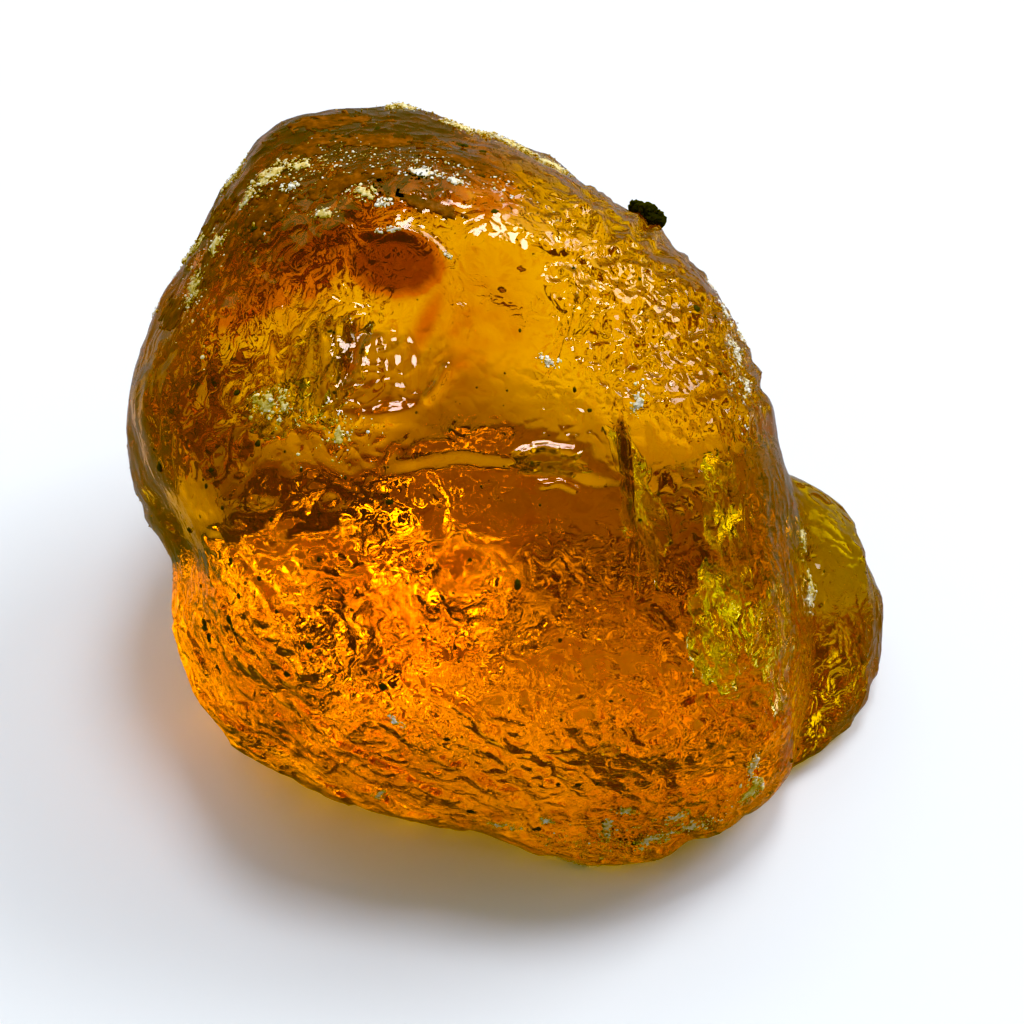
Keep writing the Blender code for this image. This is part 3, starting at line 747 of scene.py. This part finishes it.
def build_dirt(crust_mat, white_mat, grey_mat, rind_mat, grain_mat, speck_mat, red_mat, soil_mat):
    crust_film("crust_yellow", YELLOW, 0.11, 0.46, 0.065, 101, crust_mat)
    crust_film("crust_white", WHITE, 0.07, 0.42, 0.060, 151, white_mat)
    crust_film("crust_grey", GREY, 0.08, 0.36, 0.060, 201, grey_mat)

    crust_film("crust_rind", RIND, 0.03, 0.62, 0.095, 251, rind_mat)

    rng = np.random.default_rng(7)
    grains = []
    for patches, count, tone, seed in ((YELLOW, 560, 0.52, 101), (WHITE, 600, 0.82, 151), (GREY, 620, 0.72, 201)):
        for k, (place, rx, ry, turn) in enumerate(patches):
            many = int(count * max(0.3, min(rx * ry, 2.0)))
            a, b = rng.uniform(-1.35, 1.35, many), rng.uniform(-1.35, 1.35, many)
            d = spread(place, rx, ry, turn, a, b)
            p = d * skin_radius(d)[:, None]
            lace = 0.8 * fractal(p / 0.45, 3, seed + k) + 0.4 * fractal(p / 0.15, 2, seed + k + 50)
            value = 1.15 - 1.1 * np.hypot(a, b) + 0.85 * lace
            kept = value > 0.32
            for point, direction, high in zip(p[kept], d[kept], value[kept]):
                grains.append((point + direction * rng.uniform(-0.01, 0.05 + 0.09 * min(high, 1)),
                               rng.lognormal(math.log(0.036), 0.42), direction, rng.uniform(0.4, 0.9),
                               float(np.clip(tone + rng.normal(0, 0.24), 0, 1))))
    # sparkling grit along the crown and the foot, and loose dust all over
    for place, rx, ry, turn, many, tone in (
            ((436, 165), 3.6, 1.0, 14, 240, 0.85), ((300, 170), 3.2, 1.5, -25, 200, 0.6), ((190, 270), 1.3, 2.8, 15, 150, 0.55),
            ((640, 842), 3.6, 1.1, -6, 260, 0.7), ((740, 350), 1.0, 2.6, -12, 140, 0.8), ((337, 430), 1.3, 1.1, 0, 60, 0.7),
            (("edge", 90, 0), 4.5, 1.2, 25, 160, 0.5), (("edge", 150, 0), 4.0, 1.5, -40, 160, 0.5),
            (("edge", 190, 0), 3.0, 1.5, 90, 60, 0.3), (("edge", 300, 0), 5.0, 1.3, -20, 120, 0.4)):
        a, b = rng.normal(0, 0.6, many), rng.normal(0, 0.6, many)
        d = spread(place, rx, ry, turn, a, b)
        for point, direction in zip(on_skin(d, rng.uniform(-0.015, 0.03, many)), d):
            grains.append((point, rng.lognormal(math.log(0.034), 0.4), direction, rng.uniform(0.5, 1.0),
                           float(np.clip(tone + rng.normal(0, 0.25), 0, 1))))
    grains = [g for g in grains if (g[0] @ FACE[:, 2]) > -CENTRE_Z + 0.15]
    lumps("crust_grains", grains, 1, grain_mat, 3, rough=0.45)

    specks = speck_items(SPECKS, rng, 0.2)
    d = unit(rng.normal(0, 1, (520, 3)) + np.array([0, -0.1, 0.35]))
    keep = (noise3(d * 3.0, 91) > -0.15) & (d @ FACE[:, 2] > -0.45)
    d = d[keep]
    deep = rng.random(len(d)) < 0.35
    points = on_skin(d, np.where(deep, -rng.uniform(0.3, 2.5, len(d)), -0.01))
    for point, direction in zip(points, d):
        specks.append((point, rng.lognormal(math.log(0.036), 0.42), direction, rng.uniform(0.5, 1.0), rng.uniform(0, 0.6)))
    lumps("dark_specks", specks, 2, speck_mat, 5, rough=0.4)
    lumps("red_flecks", speck_items(RED_FLECKS, rng, 0.5, 0.5), 2, red_mat, 6, rough=0.4)

    # the soil crumb: three lumps packed with grit
    out = unit(CRUMB_AT)
    right, down = tangents(out)
    seat = out * (form_radius(out[None])[0] + 0.38)
    middle = [(seat, 0.42), (seat + right * 0.44 + down * 0.36, 0.34), (seat - right * 0.50 - down * 0.14, 0.27)]
    items = []
    for centre, radius in middle:
        items.append((centre, radius, out, 0.95, 0.15))
        for _ in range(75):
            v = unit(rng.normal(0, 1, 3))
            items.append((centre + v * radius * rng.uniform(0.75, 1.08), rng.lognormal(math.log(0.085), 0.35), v,
                          rng.uniform(0.6, 1.0), float(np.clip(rng.normal(0.22, 0.2), 0, 1))))
    kept = []
    for centre, radius, axis, squash, tone in items:
        away = np.linalg.norm(centre)
        floor_ = skin_radius((centre / away)[None])[0] + 0.02
        kept.append((centre if away > floor_ else centre / away * floor_, radius, axis, squash, tone))
    crumb = lumps("soil_crumb_detail", kept, 2, soil_mat, 8, rough=0.4)
    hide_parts("soil_crumb")


# ======================================================================================
# Materials
# ======================================================================================
def new_material(name):
    material = bpy.data.materials.new(name)
    material.use_nodes = True
    tree = material.node_tree
    return material, tree, tree.nodes["Principled BSDF"]


def node(tree, kind, **settings):
    made = tree.nodes.new(kind)
    for key, value in settings.items():
        if hasattr(made, key):
            setattr(made, key, value)
        else:
            made.inputs[key].default_value = value
    return made


def ramp(tree, source, stops, out="Color"):
    made = tree.nodes.new("ShaderNodeValToRGB")
    while len(made.color_ramp.elements) < len(stops):
        made.color_ramp.elements.new(0.5)
    for element, (at, colour) in zip(made.color_ramp.elements, stops):
        element.position = at
        element.color = (*colour, 1.0) if len(colour) == 3 else colour
    tree.links.new(source, made.inputs["Fac"])
    return made.outputs[out]


def amber_material():
    material, tree, shader = new_material("amber")
    link = tree.links.new
    place = tree.nodes.new("ShaderNodeTexCoord").outputs["Object"]

    def texture(scale, detail=4.0, rough=0.5, distortion=0.0):
        made = node(tree, "ShaderNodeTexNoise", Scale=scale, Detail=detail, Roughness=rough, Distortion=distortion)
        link(place, made.inputs["Vector"])
        return made.outputs["Fac"]

    wear = node(tree, "ShaderNodeAttribute", attribute_name="wear").outputs["Fac"]
    deep = node(tree, "ShaderNodeAttribute", attribute_name="deep").outputs["Fac"]

    # colour: clear with faint warm clouds, browned under the crown and darkened over the lower glow as painted shade,
    # orange along the foot
    def tint(first, second):
        mix = tree.nodes.new("ShaderNodeMix")
        mix.data_type = "RGBA"
        mix.blend_type = "MULTIPLY"
        mix.inputs["Factor"].default_value = 1.0
        colours = [socket for socket in mix.inputs if socket.type == "RGBA"]
        link(first, colours[0])
        link(second, colours[1])
        return [socket for socket in mix.outputs if socket.type == "RGBA"][0]

    warm = node(tree, "ShaderNodeAttribute", attribute_name="warm").outputs["Fac"]
    cloud = ramp(tree, texture(170, 0), [(0.34, (1.0, 0.88, 0.66)), (0.60, (1.0, 1.0, 1.0))])
    browned_and_shaded = ramp(tree, deep, [(0.0, (1.0, 1.0, 1.0)), (0.5, (0.50, 0.10, 0.04)), (1.0, (0.08, 0.005, 0.002))])
    warmed = ramp(tree, warm, [(0.0, (1.0, 1.0, 1.0)), (0.5, (0.46, 0.44, 0.12)), (1.0, (0.22, 0.14, 0.03))])
    link(tint(tint(cloud, browned_and_shaded), warmed), shader.inputs["Base Color"])

    # roughness: polished on the calm parts, frosted in the worn ones
    frost = ramp(tree, texture(900, 1, 0.65), [(0.35, (0, 0, 0)), (0.70, (1, 1, 1))])
    worn = tree.nodes.new("ShaderNodeMath")
    worn.operation = "MULTIPLY"
    link(frost, worn.inputs[0])
    link(wear, worn.inputs[1])
    spread = tree.nodes.new("ShaderNodeMapRange")
    link(worn.outputs[0], spread.inputs["Value"])
    spread.inputs["To Min"].default_value = 0.0
    spread.inputs["To Max"].default_value = 0.34
    link(spread.outputs["Result"], shader.inputs["Roughness"])

    # bumps: soft ripples everywhere, and ridged mottling by zone
    def lift(height, strength, distance, below=None):
        made = node(tree, "ShaderNodeBump", Distance=distance)
        if isinstance(strength, float):
            made.inputs["Strength"].default_value = strength
        else:
            link(strength, made.inputs["Strength"])
        link(height, made.inputs["Height"])
        if below:
            link(below, made.inputs["Normal"])
        return made.outputs["Normal"]

    def scaled(value, times, plus):
        made = tree.nodes.new("ShaderNodeMath")
        made.operation = "MULTIPLY_ADD"
        link(value, made.inputs[0])
        made.inputs[1].default_value = times
        made.inputs[2].default_value = plus
        return made.outputs[0]

    mottle = node(tree, "ShaderNodeAttribute", attribute_name="mottle").outputs["Fac"]
    crests = tree.nodes.new("ShaderNodeTexNoise")
    crests.noise_type = "RIDGED_MULTIFRACTAL"
    for key, value in (("Scale", 1300.0), ("Detail", 1.0), ("Roughness", 0.55), ("Offset", 0.9), ("Gain", 1.2), ("Distortion", 0.0)):
        crests.inputs[key].default_value = value
    link(place, crests.inputs["Vector"])
    normal = lift(texture(800, 0, 0.5), 0.11, 0.0002)
    normal = lift(crests.outputs["Fac"], scaled(mottle, 0.95, 0.05), 0.00013, normal)
    link(normal, shader.inputs["Normal"])

    shader.inputs["IOR"].default_value = 1.54
    shader.inputs["Specular Tint"].default_value = (1.0, 0.74, 0.60, 1)
    shader.inputs["Transmission Weight"].default_value = 1.0
    absorb = tree.nodes.new("ShaderNodeVolumeAbsorption")
    absorb.inputs["Color"].default_value = (0.9945, 0.924, 0.0, 1)
    absorb.inputs["Density"].default_value = 600.0
    link(absorb.outputs[0], tree.nodes["Material Output"].inputs["Volume"])
    return material


def mineral_material(name, stops, roughness, scale, bump=0.4, specular=0.3, use_tone=False, translucent=0.0):
    material, tree, shader = new_material(name)
    link = tree.links.new
    place = tree.nodes.new("ShaderNodeTexCoord").outputs["Object"]
    texture = node(tree, "ShaderNodeTexNoise", Scale=scale, Detail=5.0, Roughness=0.62)
    link(place, texture.inputs["Vector"])
    value = texture.outputs["Fac"]
    if use_tone:
        mix = tree.nodes.new("ShaderNodeMath")
        mix.operation = "MULTIPLY_ADD"
        link(texture.outputs["Fac"], mix.inputs[0])
        mix.inputs[1].default_value = 0.35
        shift = tree.nodes.new("ShaderNodeMath")
        shift.operation = "MULTIPLY_ADD"
        link(node(tree, "ShaderNodeAttribute", attribute_name="tone").outputs["Fac"], shift.inputs[0])
        shift.inputs[1].default_value = 0.8
        shift.inputs[2].default_value = -0.10
        link(shift.outputs[0], mix.inputs[2])
        value = mix.outputs[0]
    link(ramp(tree, value, stops), shader.inputs["Base Color"])
    fine = node(tree, "ShaderNodeTexNoise", Scale=scale * 3.1, Detail=4.0, Roughness=0.6)
    link(place, fine.inputs["Vector"])
    lift = node(tree, "ShaderNodeBump", Strength=bump, Distance=0.0001)
    link(fine.outputs["Fac"], lift.inputs["Height"])
    link(lift.outputs["Normal"], shader.inputs["Normal"])
    spread_ = tree.nodes.new("ShaderNodeMapRange")
    link(fine.outputs["Fac"], spread_.inputs["Value"])
    spread_.inputs["To Min"].default_value = roughness - 0.12
    spread_.inputs["To Max"].default_value = min(1.0, roughness + 0.12)
    link(spread_.outputs["Result"], shader.inputs["Roughness"])
    shader.inputs["Specular IOR Level"].default_value = specular
    return material


body = build_body(amber_material())
crust_mat = mineral_material("crust_yellow", [(0.30, (0.52, 0.30, 0.06)), (0.46, (0.80, 0.60, 0.18)), (0.60, (0.92, 0.78, 0.38)), (0.8, (0.97, 0.90, 0.66))], 0.62, 3800)
white_mat = mineral_material("crust_white", [(0.30, (0.70, 0.50, 0.24)), (0.48, (0.90, 0.80, 0.60)), (0.7, (0.98, 0.95, 0.88))], 0.6, 4200)
grey_mat = mineral_material("crust_grey", [(0.28, (0.62, 0.32, 0.12)), (0.42, (0.96, 0.66, 0.36)), (0.58, (0.99, 0.82, 0.60)), (0.78, (0.99, 0.90, 0.76))], 0.66, 3600)
rind_mat = mineral_material("crust_rind", [(0.30, (0.05, 0.008, 0.003)), (0.50, (0.16, 0.029, 0.008)), (0.68, (0.30, 0.070, 0.020))], 0.5, 2600, specular=0.2)
grain_mat = mineral_material("crust_grains", [(0.05, (0.10, 0.05, 0.02)), (0.25, (0.50, 0.28, 0.06)), (0.5, (0.86, 0.66, 0.22)), (0.72, (0.95, 0.87, 0.60)), (1.0, (0.98, 0.97, 0.94))], 0.45, 5200, specular=0.5, use_tone=True)
speck_mat = mineral_material("dark_specks", [(0.1, (0.010, 0.008, 0.007)), (0.5, (0.035, 0.018, 0.010)), (0.9, (0.13, 0.055, 0.018))], 0.62, 6000, use_tone=True)
red_mat = mineral_material("red_flecks", [(0.3, (0.18, 0.015, 0.004)), (0.7, (0.42, 0.06, 0.01))], 0.5, 6000, use_tone=True)
soil_mat = mineral_material("soil", [(0.1, (0.006, 0.006, 0.006)), (0.4, (0.020, 0.016, 0.013)), (0.75, (0.07, 0.055, 0.045)), (1.0, (0.26, 0.23, 0.20))], 0.85, 7000, bump=0.7, specular=0.2, use_tone=True)
build_dirt(crust_mat, white_mat, grey_mat, rind_mat, grain_mat, speck_mat, red_mat, soil_mat)

# ======================================================================================
# Stage: pale paper, one soft lamp behind and to the right, pale surroundings
# ======================================================================================
bm = bmesh.new()
bmesh.ops.create_grid(bm, x_segments=1, y_segments=1, size=3.0)
paper = bpy.data.meshes.new("paper_floor")
bm.to_mesh(paper)
bm.free()
floor = bpy.data.objects.new("paper_floor", paper)
floor.location.z = -0.00005
bpy.context.scene.collection.objects.link(floor)
paper_material, tree, shader = new_material("paper")
sheet = tree.nodes.new("ShaderNodeMix")
sheet.data_type = "RGBA"
tree.links.new(tree.nodes.new("ShaderNodeLightPath").outputs["Is Reflection Ray"], sheet.inputs["Factor"])
direct, painted_dark_reflection = [socket for socket in sheet.inputs if socket.type == "RGBA"]
direct.default_value = (0.88, 0.89, 0.90, 1)
painted_dark_reflection.default_value = (0.26, 0.24, 0.25, 1)    # painted reflection: the paper is dark for rays that arrive by reflection, so the amber mirrors a dim floor while the camera sees pale paper
tree.links.new([socket for socket in sheet.outputs if socket.type == "RGBA"][0], shader.inputs["Base Color"])
shader.inputs["Roughness"].default_value = 0.9
shader.inputs["Specular IOR Level"].default_value = 0.1
paper.materials.append(paper_material)

lens = bpy.data.cameras.new("camera")
lens.lens = CAMERA_LENS
lens.sensor_width = 36.0
lens.clip_start = 0.005
lens.clip_end = 20.0
camera = bpy.data.objects.new("camera", lens)
bpy.context.scene.collection.objects.link(camera)
aim = np.array([CAMERA_AIM[0], CAMERA_AIM[1], 0.0]) @ FACE + MIDDLE
camera.location = Vector((aim + FACE[2] * CAMERA_DISTANCE) * MM)
camera.rotation_euler = (math.radians(90 - LEAN), 0, 0)
bpy.context.scene.camera = camera

# Surroundings: a broad soft window behind and above with a brighter core, pale walls seen directly,
# a dim room in front. Elevations and azimuths in degrees; azimuth from straight behind, clockwise from above.
WINDOW = ((27.0, 57.0), (-62.0, 92.0), 5.0, 1.15)    # elevation, azimuth, edge softness, light
CORE = ((65.0, 79.0), (0.0, 50.0), 1.8, 21.0)
PANE = ((26.0, 50.0), (38.0, 72.0), 2.0, 7.5)
BACK_LIGHT = 0.42
FRONT_LIGHT = 0.28
WALL_LIGHT = 0.93

surroundings = bpy.data.worlds.new("surroundings")
surroundings.use_nodes = True
tree = surroundings.node_tree
background = tree.nodes["Background"]
split = tree.nodes.new("ShaderNodeSeparateXYZ")
tree.links.new(tree.nodes.new("ShaderNodeTexCoord").outputs["Generated"], split.inputs[0])


def sky_math(operation, *values):
    made = tree.nodes.new("ShaderNodeMath")
    made.operation = operation
    for socket, value in zip(made.inputs, values):
        if isinstance(value, (int, float)):
            socket.default_value = value
        else:
            tree.links.new(value, socket)
    return made.outputs[0]


def sky_step(value, low, high):
    made = tree.nodes.new("ShaderNodeMapRange")
    made.interpolation_type = "SMOOTHSTEP"
    tree.links.new(value, made.inputs["Value"])
    made.inputs["From Min"].default_value = low
    made.inputs["From Max"].default_value = high
    return made.outputs["Result"]


elevation = sky_math("DEGREES", sky_math("ARCSINE", split.outputs["Z"]))
azimuth = sky_math("DEGREES", sky_math("ARCTAN2", split.outputs["X"], split.outputs["Y"]))


def pane(spec):
    (low, high), (left, right), soft, light = spec
    inside_ = sky_math("MULTIPLY", sky_step(elevation, low - soft, low + soft), sky_step(elevation, high + soft, high - soft))
    across = sky_math("MULTIPLY", sky_step(azimuth, left - soft, left + soft), sky_step(azimuth, right + soft, right - soft))
    return sky_math("MULTIPLY", sky_math("MULTIPLY", inside_, across), light)


behind = sky_step(split.outputs["Y"], -0.25, 0.55)
room = sky_math("MULTIPLY_ADD", behind, BACK_LIGHT - FRONT_LIGHT, FRONT_LIGHT)
seen = tree.nodes.new("ShaderNodeLightPath").outputs["Is Camera Ray"]
room = sky_math("MAXIMUM", room, sky_math("MULTIPLY", seen, WALL_LIGHT))
glow = sky_math("ADD", sky_math("ADD", pane(WINDOW), pane(PANE)), pane(CORE))
tree.links.new(sky_math("ADD", glow, room), background.inputs["Strength"])
background.inputs["Color"].default_value = (0.90, 0.95, 1.0, 1)
bpy.context.scene.world = surroundings

scene = bpy.context.scene
scene.view_settings.view_transform = "Standard"
scene.view_settings.use_curve_mapping = True
tone = scene.view_settings.curve_mapping
for x_, y_ in ((0.05, 0.002), (0.12, 0.07), (0.30, 0.285)):
    tone.curves[2].points.new(x_, y_)
tone.update()
scene.cycles.max_bounces = 7
scene.cycles.transmission_bounces = 7
